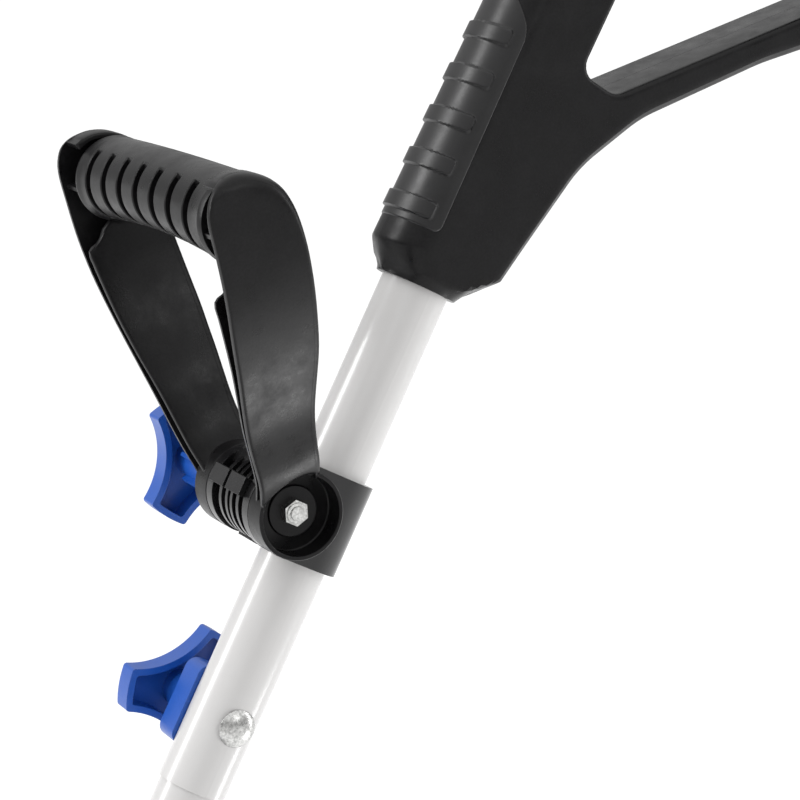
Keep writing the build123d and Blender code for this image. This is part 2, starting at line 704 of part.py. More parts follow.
def handle_form(grow):
    """Whole rounded body of the rear handle, grown by a given distance."""
    half = handle_half + grow
    body = side(handle_face(grow), -half, half)
    ends = body.faces().sort_by(Axis.X)
    body = fillet(ends[0].edges() + ends[-1].edges(), handle_round + grow)
    hole = side(loop_opening(-grow), -60, 60)
    body -= hole
    rim = [e for e in body.edges() if abs(abs(e.center().X) - half) < 0.01
           and hole.distance_to(e.center()) < 0.01]
    return fillet(rim, max(loop_round + grow, 0.8))


def panel_zone(inset):
    """Region of the handle covered by the soft panel."""
    zone = outline([sn(panel_s0 + inset, 60), sn(panel_s0 + inset, panel_n + inset),
                    sn(panel_s1 - inset, panel_n + inset), sn(panel_s1 - inset, 60)],
                   [1, 5, 14, 1])
    return side(zone, -60, 60)


def soft_grip(form, core):
    """Soft front panel, with raised bands for the fingers."""
    body = (form - core) & panel_zone(0.1)
    proud = handle_form(ridge_up)
    count = int((panel_s1 - panel_s0 - 10) / ridge_pitch)
    bands = None
    for i in range(count):
        s = panel_s0 + 8 + ridge_pitch * i
        band = block(-60, 60, -60, -panel_n - 5, s - ridge_w / 2, s + ridge_w / 2)
        bands = band if bands is None else bands + band
    body += (proud - core) & bands & panel_zone(0.1)
    return body


def trigger_gap(grow):
    """Slot in the underside of the grip for the trigger."""
    s0, s1 = 330, 366
    return block(-7 - grow, 7 + grow, 38 - grow, 100 + grow, s0, s1)


def handle_bodies():
    """Hollow handle, split into left and right mouldings, with its soft panel."""
    form = handle_form(0)
    core = handle_form(-shell)
    grip = soft_grip(form, core)
    body = form - core
    body -= panel_zone(0)
    body += (core - handle_form(-shell - 1.5)) & panel_zone(-2)
    sleeve = Pos(0, 0, (ferrule_s + upper_top_s) / 2) * Cylinder(tube_r + 3.2, upper_top_s - ferrule_s)
    body += sleeve & core
    for y, s in screw_places():
        body += rod_x(4.5, -handle_half + 1, handle_half - 1, y, s)
    body += inlet_seat()
    spring_post = rod_x(5, -handle_half + 1, 4, *button_place())
    body += spring_post
    body -= Pos(0, 0, 60) * Cylinder(tube_r + run_gap, 2 * (upper_top_s + 0.2 - 60))
    body -= trigger_gap(part_gap)
    body -= rod_x(2.0, -12, 12, -trigger_n, trigger_s)
    body -= rod_x(6.0 + part_gap, 8, 40, *button_place())
    for y, s in screw_places():
        body -= rod_x(1.5, -handle_half + 3, handle_half - 4, y, s)
        body -= rod_x(3.6, -handle_half - 1, -handle_half + 5, y, s)
    body -= inlet_cavity()
    left = body & block(0.05, 60, -60, 300, 90, 420)
    right = body & block(-60, -0.05, -60, 300, 90, 420)
    keep("soft_grip", on_pole(grip))
    keep("handle_shell_left", on_pole(left))
    keep("handle_shell_right", on_pole(right))


def screw_places():
    """Screws that join the handle shells, as pole-frame y and height."""
    return [sn(192, -32), sn(150, -25), sn(232, -66), sn(300, -137), sn(358, 2), sn(374, -130)]


def handle_screws():
    screws = []
    for y, s in screw_places():
        head = rod_x(3.4, -handle_half + 2.4, -handle_half + 5, y, s)
        screws.append(on_pole(head + rod_x(1.45, -handle_half + 5, handle_half - 6, y, s)))
    return Compound(children=screws)


def button_place():
    """Centre of the lock-off button, as pole-frame y and height."""
    return sn(368, -34)


def inlet_seat():
    """Thick wall at the rear end that carries the power inlet."""
    return block(-handle_half + 1, handle_half - 1, 190, 206, 336, 378)


def inlet_cavity():
    """Recess for the plug of an extension lead."""
    return Pos(0, 204, 357) * (Rot(90, 0, 0) * Cylinder(14.5, 30))


def power_inlet():
    """Cup with a flat base that holds the two blades."""
    cup = Pos(0, 203.6, 357) * (Rot(90, 0, 0) * Cylinder(14.4, 14))
    cup -= Pos(0, 207, 357) * (Rot(90, 0, 0) * Cylinder(12.4, 14))
    for x in (-6.35, 6.35):
        cup -= block(x - 0.8, x + 0.8, 190, 212, 354, 360)
    return on_pole(cup)


def inlet_blades():
    blades = [block(x - 0.75, x + 0.75, 193, 209, 354.05, 359.95) for x in (-6.35, 6.35)]
    return on_pole(Compound(children=blades))


def trigger():
    """Sprung lever under the grip, hinged at its front end."""
    points = [sn(360, -41), sn(360, -52), sn(352, -58), sn(352, -97), sn(335, -95),
              sn(326, -82), sn(327, -62), sn(341, -45), sn(349, -39.6)]
    face = outline(points, [1, 3, 5, 2, 7, 12, 14, 10, 3])
    body = side(face, -6.8, 6.8)
    return on_pole(body - rod_x(2.05, -20, 20, -trigger_n, trigger_s))


def trigger_pin():
    return on_pole(rod_x(2.0, -12, 12, -trigger_n, trigger_s))


def coil_spring(r, wire, pitch, turns):
    """Compression spring standing on the XY plane."""
    path = Helix(pitch=pitch, height=pitch * turns, radius=r)
    section = Plane(origin=path @ 0, z_dir=path % 0) * Circle(wire)
    return sweep(section, path=path)


def trigger_spring():
    y, s = sn(352.8, -84)
    return on_pole(Pos(0, y, s) * coil_spring(3.2, 0.45, 2.6, 5))


def lock_button():
    y, s = button_place()
    cap = rod_x(6.0, 12, handle_half + 4, y, s)
    cap = fillet(cap.edges().sort_by(Axis.X)[-1:], 1.2)
    return on_pole(cap + rod_x(2.5, 8.4, 13, y, s))


def lock_spring():
    y, s = button_place()
    coil = Location((4.6, y, s), (0, 90, 0)) * coil_spring(3.6, 0.4, 1.6, 4)
    return on_pole(coil)


def switch_body():
    """Snap switch above the trigger."""
    y, s = sn(374, -84)
    body = block(-8, 8, y - 14, y + 14, s - 5, s + 5)
    body += block(-1, 1, y - 12, y - 8, s + 4, s + 7)
    return on_pole(body)


def main():
    os.makedirs("parts", exist_ok=True)
    keep("scoop_housing", scoop_housing())
    keep("scraper_bar", scraper_bar())
    keep("scraper_screws", scraper_screws())
    keep("rotor_shaft", rotor_shaft())
    keep("rotor_core", rotor_core())
    for name, x0, x1, turn, twist in (("paddle_left", 8.2, 139.8, 0, 28),
                                      ("paddle_right", -139.8, -4.2, 118, -28)):
        keep(name + "_a", paddle(x0, x1, turn, twist))
        keep(name + "_b", paddle(x0, x1, turn + 180, twist))
    keep("paddle_screws", paddle_screws())
    keep("rotor_bearing_left", bearing(157.0))
    keep("rotor_bearing_right", bearing(-157.0))
    keep("bearing_cap", bearing_cap())
    keep("rotor_pulley", rotor_pulley())
    keep("motor_pulley", pulley(small_pulley_r, motor_shaft_r, motor_y, motor_z))
    keep("drive_belt", drive_belt())
    keep("belt_cover", belt_cover())
    keep("belt_cover_screws", belt_cover_screws())
    keep("motor_can", motor_can())
    keep("motor_shaft", rod_x(motor_shaft_r, 22, 184, motor_y, motor_z))
    keep("motor_fan", motor_fan())
    keep("motor_screws", motor_screws())
    keep("motor_cover", motor_cover())
    keep("motor_base", motor_base())
    keep("cover_screws", cover_screws())
    keep("pole_socket", pole_socket())
    keep("socket_bolt", socket_bolt())
    keep("socket_nut", socket_nut())
    keep("lower_tube", lower_tube())
    keep("upper_tube", upper_tube())
    keep("joint_bolt", joint_bolt())
    keep("joint_saddle", joint_saddle())
    keep("joint_knob", joint_knob())
    keep("joint_knob_nut", joint_knob_nut())
    keep("inner_cable", inner_cable())
    keep("clamp_body", clamp_body())
    keep("pivot_bolt", pivot_bolt())
    keep("pivot_nut", pivot_nut())
    keep("assist_spacer", assist_spacer())
    keep("assist_knob", assist_knob())
    keep("assist_handle", assist_handle())
    handle_bodies()
    keep("handle_screws", handle_screws())
    keep("trigger", trigger())
    keep("trigger_pin", trigger_pin())
    keep("trigger_spring", trigger_spring())
    keep("lock_button", lock_button())
    keep("lock_spring", lock_spring())
    keep("switch_body", switch_body())
    keep("power_inlet", power_inlet())
    keep("inlet_blades", inlet_blades())
    for name, solid in nodes.items():
        export_step(solid, f"parts/{name}.step")


main()
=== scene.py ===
import json
from math import atan2, ceil, cos, hypot, pi, radians, sin, tan

import bmesh
import bpy
import numpy as np
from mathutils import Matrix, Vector
from mathutils.geometry import delaunay_2d_cdt


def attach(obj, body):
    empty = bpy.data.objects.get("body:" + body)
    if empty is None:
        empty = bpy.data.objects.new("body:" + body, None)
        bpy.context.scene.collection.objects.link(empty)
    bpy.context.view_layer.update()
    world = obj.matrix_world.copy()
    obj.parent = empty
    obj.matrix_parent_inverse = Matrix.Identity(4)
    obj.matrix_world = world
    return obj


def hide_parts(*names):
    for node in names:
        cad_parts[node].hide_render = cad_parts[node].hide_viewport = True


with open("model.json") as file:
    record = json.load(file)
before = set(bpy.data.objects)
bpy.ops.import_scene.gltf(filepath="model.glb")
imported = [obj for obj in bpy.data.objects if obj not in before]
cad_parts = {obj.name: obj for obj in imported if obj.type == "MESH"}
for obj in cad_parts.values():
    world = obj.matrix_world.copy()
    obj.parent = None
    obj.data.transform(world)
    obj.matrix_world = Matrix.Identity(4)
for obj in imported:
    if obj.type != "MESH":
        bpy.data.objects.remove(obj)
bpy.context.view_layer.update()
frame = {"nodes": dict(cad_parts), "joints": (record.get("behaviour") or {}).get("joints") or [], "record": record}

# Corded snow shovel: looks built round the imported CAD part.
# Lengths in the mesh code are millimetres in one of two frames.
# Pole frame (x, s, n): x across, s up the pole, n out to its front, origin at the clamp.
# Arm frame (x, t, b): t from the tilt axis to the crossbar, b towards the arm's front edge.

MM = 0.001
joints = {j["name"]: j for j in frame["joints"]}
up = Vector(joints["assist_slide"]["axis"]).normalized()
front = Vector((0, -up.z, up.y))
hub_n = 23.5                       # tilt axis of the assist handle, in front of the pole axis
arm_angle = radians(47.4)          # lean of the arms in front of the pole
hub = Vector(joints["assist_tilt"]["pos_m"]) - front * hub_n * MM


def on_pole(points):
    """Pole-frame millimetres to row-frame metres."""
    p = np.asarray(points, float) * MM
    across, along, out = np.outer(p[:, 0], (1, 0, 0)), np.outer(p[:, 1], up), np.outer(p[:, 2], front)
    return np.array(hub) + across + along + out


def on_arm(points):
    """Arm-frame millimetres to row-frame metres."""
    x, t, b = np.asarray(points, float).T
    s = t * cos(arm_angle) - b * sin(arm_angle)
    n = hub_n + t * sin(arm_angle) + b * cos(arm_angle)
    return on_pole(np.column_stack([x, s, n]))


# ---------------------------------------------------------------- materials
def new_node(tree, kind, **values):
    """Shader node with its inputs or settings filled in."""
    n = tree.nodes.new(kind)
    for key, value in values.items():
        if key in n.inputs:
            n.inputs[key].default_value = value
        else:
            setattr(n, key, value)
    return n


def remap(tree, value, start, end, to_start=0.0, to_end=1.0):
    """Straight change of scale from one range to another."""
    n = tree.nodes.new("ShaderNodeMapRange")
    n.inputs["From Min"].default_value = start
    n.inputs["From Max"].default_value = end
    n.inputs["To Min"].default_value = to_start
    n.inputs["To Max"].default_value = to_end
    tree.links.new(value, n.inputs["Value"])
    return n.outputs["Result"]


def softened(tree, height, grain, bevel):
    """Normal with rounded edges and a fine grain, or None where neither is asked for."""
    normal = None
    if bevel:
        edge = new_node(tree, "ShaderNodeBevel", samples=4)
        edge.inputs["Radius"].default_value = bevel * MM
        normal = edge.outputs["Normal"]
    if grain:
        bump = new_node(tree, "ShaderNodeBump", Strength=1.0)
        bump.inputs["Distance"].default_value = grain * MM
        tree.links.new(height, bump.inputs["Height"])
        if normal:
            tree.links.new(normal, bump.inputs["Normal"])
        normal = bump.outputs["Normal"]
    return normal


def grained(name, colour, rough, grain=0.0, scale=1.4, metal=0.0, bevel=0.35, mottle=0.12,
            specular=0.5, coat=0.0, coat_rough=0.1, rough_spread=0.08):
    """Principled finish with millimetre-scale grain, slow mottling and softened edges."""
    m = bpy.data.materials.new(name)
    m.use_nodes = True
    tree = m.node_tree
    link = tree.links.new
    shader = tree.nodes["Principled BSDF"]
    shader.inputs["Metallic"].default_value = metal
    shader.inputs["Specular IOR Level"].default_value = specular
    shader.inputs["Coat Weight"].default_value = coat
    shader.inputs["Coat Roughness"].default_value = coat_rough
    where = new_node(tree, "ShaderNodeTexCoord")
    mapping = new_node(tree, "ShaderNodeMapping")
    mapping.inputs["Scale"].default_value = [1 / MM] * 3
    link(where.outputs["Object"], mapping.inputs["Vector"])
    fine = new_node(tree, "ShaderNodeTexNoise", Scale=scale, Detail=2.0, Roughness=0.6)
    slow = new_node(tree, "ShaderNodeTexNoise", Scale=0.06, Detail=8.0, Roughness=0.72)
    link(mapping.outputs["Vector"], fine.inputs["Vector"])
    link(mapping.outputs["Vector"], slow.inputs["Vector"])
    both = new_node(tree, "ShaderNodeMath", operation="MULTIPLY")
    link(fine.outputs["Fac"], both.inputs[0])
    link(slow.outputs["Fac"], both.inputs[1])
    mix = new_node(tree, "ShaderNodeMix", data_type="RGBA")
    mix.inputs[6].default_value = (*[c * (1 - mottle) for c in colour], 1)
    mix.inputs[7].default_value = (*[min(1, c * (1 + mottle)) for c in colour], 1)
    link(remap(tree, both.outputs[0], 0.1, 0.4), mix.inputs[0])
    link(mix.outputs[2], shader.inputs["Base Color"])
    smoothest, roughest = max(0.02, rough - rough_spread), min(1, rough + rough_spread)
    link(remap(tree, slow.outputs["Fac"], 0.3, 0.7, smoothest, roughest), shader.inputs["Roughness"])
    normal = softened(tree, fine.outputs["Fac"], grain, bevel)
    if normal:
        link(normal, shader.inputs["Normal"])
    return m


finish = {
    "black_plastic": grained("black_plastic", (0.0045, 0.0043, 0.0047), 0.33, grain=0.026, scale=0.9,
                             mottle=0.45, specular=0.2, rough_spread=0.13),
    "blue_plastic": grained("blue_plastic", (0.008, 0.072, 0.36), 0.34, grain=0.006, mottle=0.08),
    "grey_plastic": grained("grey_plastic", (0.12, 0.12, 0.13), 0.5, grain=0.012, mottle=0.1),
    "soft_grip": grained("soft_grip", (0.005, 0.0048, 0.0053), 0.36, grain=0.016, scale=1.6,
                         mottle=0.3, bevel=0.2, specular=0.42),
    "belt_rubber": grained("belt_rubber", (0.015, 0.015, 0.015), 0.7, grain=0.02),
    "paddle_rubber": grained("paddle_rubber", (0.02, 0.02, 0.021), 0.62, grain=0.03, scale=0.8, bevel=0.5),
    "cable_jacket": grained("cable_jacket", (0.015, 0.015, 0.015), 0.4, bevel=0),
    "painted_tube": grained("painted_tube", (0.535, 0.528, 0.523), 0.28, mottle=0.01, bevel=0.25,
                            coat=0.35, coat_rough=0.12, rough_spread=0.006),
    "zinc_steel": grained("zinc_steel", (0.5, 0.5, 0.49), 0.3, grain=0.07, scale=0.9, metal=1.0,
                          mottle=0.45, bevel=0.3, rough_spread=0.1),
    "aluminium": grained("aluminium", (0.7, 0.7, 0.71), 0.32, grain=0.01, metal=1.0, bevel=0.3),
    "brass": grained("brass", (0.7, 0.52, 0.24), 0.3, grain=0.006, metal=1.0, bevel=0.2),
}
glossy_black = grained("glossy_black", (0.006, 0.0058, 0.0064), 0.2, grain=0.01, scale=1.5, mottle=0.2)
slots = {p["node"]: p["material_slot"] for p in frame["record"]["subparts"]}
for name, o in frame["nodes"].items():
    o.data.materials.clear()
    o.data.materials.append(glossy_black if name == "clamp_body" else finish[slots[name]])


# ---------------------------------------------------------------- mesh building
class Form:
    """Closed solids gathered into one piece."""

    def __init__(self):
        self.points, self.faces = [], []

    def add(self, points, faces):
        base = len(self.points)
        self.points += [tuple(map(float, p)) for p in points]
        self.faces += [tuple(base + int(i) for i in f) for f in faces]

    def loft(self, rings, closed=False):
        """Skin through closed rings, capped at both ends unless the rings close on themselves."""
        count, size = len(rings), len(rings[0])
        faces = []
        for i in range(count if closed else count - 1):
            a, b = i * size, (i + 1) % count * size
            faces += [(a + j, a + (j + 1) % size, b + (j + 1) % size, b + j) for j in range(size)]
        if not closed:
            faces += [tuple(range(size))[::-1], tuple(range((count - 1) * size, count * size))]
        self.add([p for ring in rings for p in ring], faces)

    def lathe(self, profile, steps=96):
        """Ring solid turned about the x axis. profile is a closed chain of (x, radius)."""
        rings = []
        for i in range(steps):
            angle = 2 * pi * i / steps
            rings.append([(x, r * cos(angle), r * sin(angle)) for x, r in profile])
        self.loft(rings, closed=True)

    def mesh_object(self, name, place, sharp):
        """Object in the row frame, with outward normals."""
        mesh = bpy.data.meshes.new(name)
        mesh.from_pydata(place(self.points).tolist(), [], self.faces)
        o = bpy.data.objects.new(name, mesh)
        bpy.context.scene.collection.objects.link(o)
        dress(o, sharp)
        return o

    def piece(self, name, material, body, sharp, place=on_pole):
        """Finished object that rides on a body."""
        o = self.mesh_object(name, place, sharp)
        o.data.materials.append(finish[material])
        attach(o, body)
        return o


def dress(o, sharp):
    """Outward normals and smooth shading with hard edges above an angle."""
    bm = bmesh.new()
    bm.from_mesh(o.data)
    bmesh.ops.recalc_face_normals(bm, faces=bm.faces)
    bm.to_mesh(o.data)
    bm.free()
    o.data.shade_smooth()
    o.data.set_sharp_from_angle(angle=radians(sharp))


def circle(u, v, r, count):
    """Closed chain of points round a centre."""
    return [(u + r * cos(2 * pi * k / count), v + r * sin(2 * pi * k / count)) for k in range(count)]


def filleted(corners, step):
    """Closed chain of points round (u, v, radius) corners, with runs no longer than step."""
    most, least = 0.49, 0.05       # share of a run that a fillet may take, shortest fillet made
    chain = []
    for i, (u, v, r) in enumerate(corners):
        here = Vector((u, v))
        back = Vector(corners[i - 1][:2]) - here
        ahead = Vector(corners[(i + 1) % len(corners)][:2]) - here
        half = back.angle(ahead) / 2
        reach = min(r / tan(half), most * back.length, most * ahead.length)
        if reach < least:
            chain.append((u, v))
            continue
        r = reach * tan(half)
        centre = here + (back.normalized() + ahead.normalized()).normalized() * (r / sin(half))
        start, end = here + back.normalized() * reach - centre, here + ahead.normalized() * reach - centre
        turn = atan2(start.x * end.y - start.y * end.x, start.dot(end))
        first = atan2(start.y, start.x)
        count = max(3, ceil(abs(turn) * r / step))
        for k in range(count + 1):
            angle = first + turn * k / count
            chain.append((centre.x + r * cos(angle), centre.y + r * sin(angle)))
    full = []
    for a, b in zip(chain, chain[1:] + chain[:1]):
        count = max(1, ceil(hypot(b[0] - a[0], b[1] - a[1]) / step))
        full += [(a[0] + (b[0] - a[0]) * k / count, a[1] + (b[1] - a[1]) * k / count) for k in range(count)]
    return np.array(full)


def away(points, starts, ends):
    """Distance of each point from the nearest of some line segments."""
    p, a, along = points[:, None], starts[None], (ends - starts)[None]
    k = np.clip(((p - a) * along).sum(-1) / np.maximum((along ** 2).sum(-1), 1e-9), 0, 1)
    return np.sqrt((((a + along * k[..., None]) - p) ** 2).sum(-1)).min(1)


def within(points, loops):
    """True where a point lies inside the first loop and outside the others."""
    odd = np.zeros(len(points), bool)
    x, y = points[:, 0][:, None], points[:, 1][:, None]
    for a in loops:
        b = np.roll(a, -1, 0)
        spans = (a[:, 1] > y) != (b[:, 1] > y)
        rise = np.where(b[:, 1] == a[:, 1], 1e-9, b[:, 1] - a[:, 1])
        cross = spans & (x < a[:, 0] + (y - a[:, 1]) * (b[:, 0] - a[:, 0]) / rise)
        odd ^= cross.sum(1) % 2 == 1
    return odd


def directions(starts, ends):
    """Unit vectors from one set of points to another."""
    return (ends - starts) / np.linalg.norm(ends - starts, axis=1)[:, None]


def slab(form, loops, top, bottom, rings, grid):
    """Solid between two height fields over a flat outline with holes.

    top and bottom take the points and their distance from the edge, and give x.
    rings are distances from the edge that get their own rows of points.
    """
    crowding = 0.97                # a row point this much nearer to another edge is left out
    starts = np.vstack(loops)
    ends = np.vstack([np.roll(loop, -1, 0) for loop in loops])
    before = np.vstack([np.roll(loop, 1, 0) for loop in loops])
    normals = (directions(starts, ends) + directions(before, starts))[:, ::-1] * (1, -1)
    normals /= np.linalg.norm(normals, axis=1)[:, None]
    rows = [starts]
    for d in rings:
        for way in (-d, d):
            q = starts + normals * way
            q = q[within(q, loops)]
            rows.append(q[away(q, starts, ends) > crowding * d])
    low, high = starts.min(0), starts.max(0)
    mesh_u, mesh_v = np.meshgrid(np.arange(low[0], high[0], grid), np.arange(low[1], high[1], grid))
    q = np.column_stack([mesh_u.ravel(), mesh_v.ravel()])
    q = q[within(q, loops)]
    if len(q):
        rows.append(q[away(q, starts, ends) > (rings[-1] if rings else 0) + grid / 2])
    flat = np.vstack(rows)
    edges, base = [], 0
    for loop in loops:
        edges += [(base + i, base + (i + 1) % len(loop)) for i in range(len(loop))]
        base += len(loop)
    found, _, triangles, *_ = delaunay_2d_cdt([Vector(p) for p in flat], edges, [], 0, 1e-4)
    flat = np.array([tuple(p) for p in found])
    triangles = np.array([t for t in triangles if len(t) == 3])
    triangles = triangles[within(flat[triangles].mean(1), loops)]
    a, b, c = (flat[triangles[:, i]] for i in range(3))
    flip = ((b - a)[:, 0] * (c - a)[:, 1] - (b - a)[:, 1] * (c - a)[:, 0]) < 0
    triangles[flip] = triangles[flip][:, ::-1]
    gap = away(flat, starts, ends)
    size = len(flat)
    points = np.vstack([np.column_stack([top(flat, gap), flat]), np.column_stack([bottom(flat, gap), flat])])
    seen = dict.fromkeys((t[i], t[(i + 1) % 3]) for t in triangles for i in range(3))
    rim = [(i, j) for i, j in seen if (j, i) not in seen]
    faces = [tuple(t) for t in triangles] + [tuple(size + i for i in t[::-1]) for t in triangles]
    faces += [(j, i, size + i, size + j) for i, j in rim]
    form.add(points, faces)


def rounding(gap, r):
    """Drop of a surface near an edge that has a rounding of that radius."""
    d = np.clip(r - gap, 0, r)
    return r - np.sqrt(np.maximum(r * r - d * d, 0))


def ramp(value, start, end):
    """Smooth step from 0 to 1."""
    k = np.clip((value - start) / (end - start), 0, 1)
    return k * k * (3 - 2 * k)


def cut(o, cutter, sharp):
    """Takes one closed piece out of another for good."""
    m = o.modifiers.new("cut", "BOOLEAN")
    m.operation, m.solver, m.object = "DIFFERENCE", "EXACT", cutter
    done = bpy.data.meshes.new_from_object(o.evaluated_get(bpy.context.evaluated_depsgraph_get()))
    o.modifiers.clear()
    o.data = done
    bpy.data.objects.remove(cutter)
    dress(o, sharp)


# ---------------------------------------------------------------- rear handle
half_w = 20.0                      # half width of the handle
front_round = 15.0                 # depth of the rounding along its front and top
back_x, back_slope = 16.3, 1.02    # half width at the back edge, and how fast the chamfer widens
back_round, loop_round = 0.9, 2.6  # rounding of the back edge and of the loop's edge
thin = 0.6                         # least half width, at the front parting line
parting = 0.05                     # half of the gap between the two mouldings
mouth_s, mouth_r = 107.5, 18.0     # lower end, where the pole goes in, and its round mouth
front_s, front_n = (119, 230, 318), (25.8, 22.5, 21.5)
crease_n, crease_s = (-28.5, -25, -11, 4, 19, 25.8), (124, 123, 112.6, 111.2, 113.5, 120.5)
outline = filleted([(mouth_s, 18, 1), (119, 25.8, 6), (230, 22.5, 60), (318, 21.5, 50), (384, 6, 26),
                    (387, -100, 200), (384, -204, 18), (340, -212, 14), (300, -150, 120),
                    (262, -106, 120), (214, -59.6, 60), (183, -41.6, 60), (140, -32, 20),
                    (123.5, -28.5, 5), (mouth_s, -18, 1)], 2.5)
opening = filleted([(219, -21.5, 7), (340, -24, 14), (347, -174, 9), (217.5, -41.5, 9)], 2.5)
button = (368.0, -34.0)
screws = [(192, -32), (150, -25), (232, -66), (300, -137), (358, 2), (374, -130)]


def handle_height(points):
    """Half width of the handle over its side view."""
    ends = np.roll(outline, -1, 0)
    s, n = ((outline + ends) / 2).T
    mouth = s < mouth_s + 0.3
    ahead = ~mouth & (n > 0) | (s > 372) & (n > -196)
    back = ~(mouth | ahead)
    near = np.clip(front_round - away(points, outline[ahead], ends[ahead]), 0, front_round) / front_round
    height = np.maximum(half_w * np.sqrt(1 - near ** 2), thin)
    inward = away(points, outline[back], ends[back])
    height = np.minimum(height, back_x + back_slope * inward - rounding(inward, back_round))
    crease = np.interp(points[:, 1], crease_n, crease_s)
    taper = np.clip((crease - points[:, 0]) / (crease - (mouth_s - 0.1)), 0, 1)
    round_end = np.sqrt(np.maximum(mouth_r ** 2 - points[:, 1] ** 2, 0))
    height = np.maximum(height * (1 - taper) + np.minimum(round_end, height) * taper, thin)
    return np.maximum(height - rounding(away(points, opening, np.roll(opening, -1, 0)), loop_round), thin)


def handle_recesses(way):
    """Trigger slot, inlet cup, and screw holes on the right or the button's hole on the left."""
    tool = Form()
    slot_s, slot_n, slot_x = (330, 366), (-100, -38), 7.3
    corners = [(-slot_x, slot_n[0]), (slot_x, slot_n[0]), (slot_x, slot_n[1]), (-slot_x, slot_n[1])]
    tool.loft([[(x, s, n) for x, n in corners] for s in slot_s])
    inlet_r, inlet_s, inlet_n = 14.6, 357, (-216, -189.5)
    tool.loft([[(x, s, n) for x, s in circle(0, inlet_s, inlet_r, 64)] for n in inlet_n])
    screw_r, screw_floor = 3.7, 15.2
    button_r, button_floor = 6.35, 9.0
    holes = [(*button, button_r, button_floor)]
    if way < 0:
        holes = [(*place, screw_r, screw_floor) for place in screws]
    beyond = half_w + 4
    for s, n, r, floor_x in holes:
        tool.loft([[(way * x, u, v) for u, v in circle(s, n, r, 40)] for x in (floor_x, beyond)])
    return tool.mesh_object("tool", on_pole, 30)


def handle_half(name, node, way):
    """One moulding of the rear handle, with its recesses."""
    sharp = 24
    form = Form()
    slab(form, [outline, opening], lambda p, g: way * handle_height(p),
         lambda p, g: np.full(len(p), way * parting),
         [0.35, 0.8, 1.4, 2.2, 3.2, 4.4, 6.2, 8.5, 11.2, 13.2, front_round, 15.7], 5.0)
    o = form.piece(name, "black_plastic", "machine", sharp)
    cut(o, handle_recesses(way), sharp)
    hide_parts(node)


handle_half("handle_half_left", "handle_shell_left", 1)
handle_half("handle_half_right", "handle_shell_right", -1)

# Soft grip: one skin wrapped round the front of the handle, raised into finger bands.
seam_n, grip_s0 = 10.6, 129.6      # side seam and lower end
top_side_s, top_rise = 221.5, 18.5  # upper end at the seam, and how much higher it is in front
skin_up, skin_down = 0.45, 1.2     # skin above and below the handle's surface
fold_w, fold_rate, fold_most = 0.9, 1.6, 1.7  # edge that curls under the surface
grip_corner = 4                    # rounding of the grip's corners
band_s0, band_pitch, band_w, bands = 137.5, 19.8, 7.4, 5
band_seam, band_corner = 6.0, 1.6  # distance of a band's end from the seam, and its rounding
band_rise, band_flank = 1.25, 0.45


def grip_section(s, count):
    """Half section of the handle front at one height: seam at the side to the middle of the front."""
    round_n = np.interp(s, front_s, front_n) - front_round
    angles = np.linspace(np.arcsin((seam_n - round_n) / front_round), pi / 2, 40)
    x, n = half_w * np.cos(angles), round_n + front_round * np.sin(angles)
    run = np.concatenate([[0], np.cumsum(np.hypot(np.diff(x), np.diff(n)))])
    at = np.linspace(0, run[-1], count)
    return np.interp(at, run, x), np.interp(at, run, n), at


def grip_lift(s, from_seam, from_end):
    """Height of the skin above the handle: an edge that curls under, and raised bands."""
    edge = min(from_seam, from_end)
    if max(from_seam, from_end) < grip_corner:
        edge = grip_corner - hypot(grip_corner - from_seam, grip_corner - from_end)
    fold = min(max(0, fold_w - edge) ** 2 * fold_rate, fold_most)
    raised = 0.0
    for j in range(bands):
        across = abs(s - (band_s0 + band_pitch * j)) - (band_w / 2 - band_corner)
        along = band_corner - (from_seam - band_seam)
        out = hypot(max(across, 0), max(along, 0)) - band_corner + min(max(across, along), 0)
        raised = max(raised, min(1, max(0, (0.2 - out) / band_flank)))
    return skin_up - fold + band_rise * raised


def grip():
    rows, half = 240, 60
    columns = 2 * half - 1
    skin = np.zeros((rows, columns, 3))
    lift = np.zeros((rows, columns))
    _, _, across = grip_section(200, half)
    top_s = top_side_s + top_rise * np.sin(across / across[-1] * pi / 2) ** 0.8
    for i in range(rows):
        heights = grip_s0 + (top_s - grip_s0) * i / (rows - 1)
        for k, s in enumerate(heights):
            x, n, run = grip_section(s, half)
            from_end = min(s - grip_s0, (top_s[k] - s) * 0.8)
            for way, column in ((1, k), (-1, columns - 1 - k)):
                skin[i, column] = way * x[k], s, n[k]
                lift[i, column] = grip_lift(s, run[k], from_end)
    normal = np.cross(np.gradient(skin, axis=0), np.gradient(skin, axis=1))
    normal /= np.linalg.norm(normal, axis=2)[..., None]
    if normal[rows // 2, half - 1, 2] < 0:
        normal = -normal
    outer, inner = skin + normal * lift[..., None], skin - normal * skin_down

    def at(i, j, layer):
        return layer * rows * columns + i * columns + j

    faces = []
    for i in range(rows - 1):
        for j in range(columns - 1):
            quad = (i, j), (i, j + 1), (i + 1, j + 1), (i + 1, j)
            faces.append(tuple(at(*q, 0) for q in quad))
            faces.append(tuple(at(*q, 1) for q in reversed(quad)))
    border = [(0, j) for j in range(columns)] + [(i, columns - 1) for i in range(1, rows)]
    border += [(rows - 1, j) for j in range(columns - 2, -1, -1)] + [(i, 0) for i in range(rows - 2, 0, -1)]
    for a, b in zip(border, border[1:] + border[:1]):
        faces.append((at(*a, 0), at(*a, 1), at(*b, 1), at(*b, 0)))
    form = Form()
    form.add(np.vstack([outer.reshape(-1, 3), inner.reshape(-1, 3)]), faces)
    o = form.piece("finger_grip", "soft_grip", "machine", 50)
    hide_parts("soft_grip")


grip()


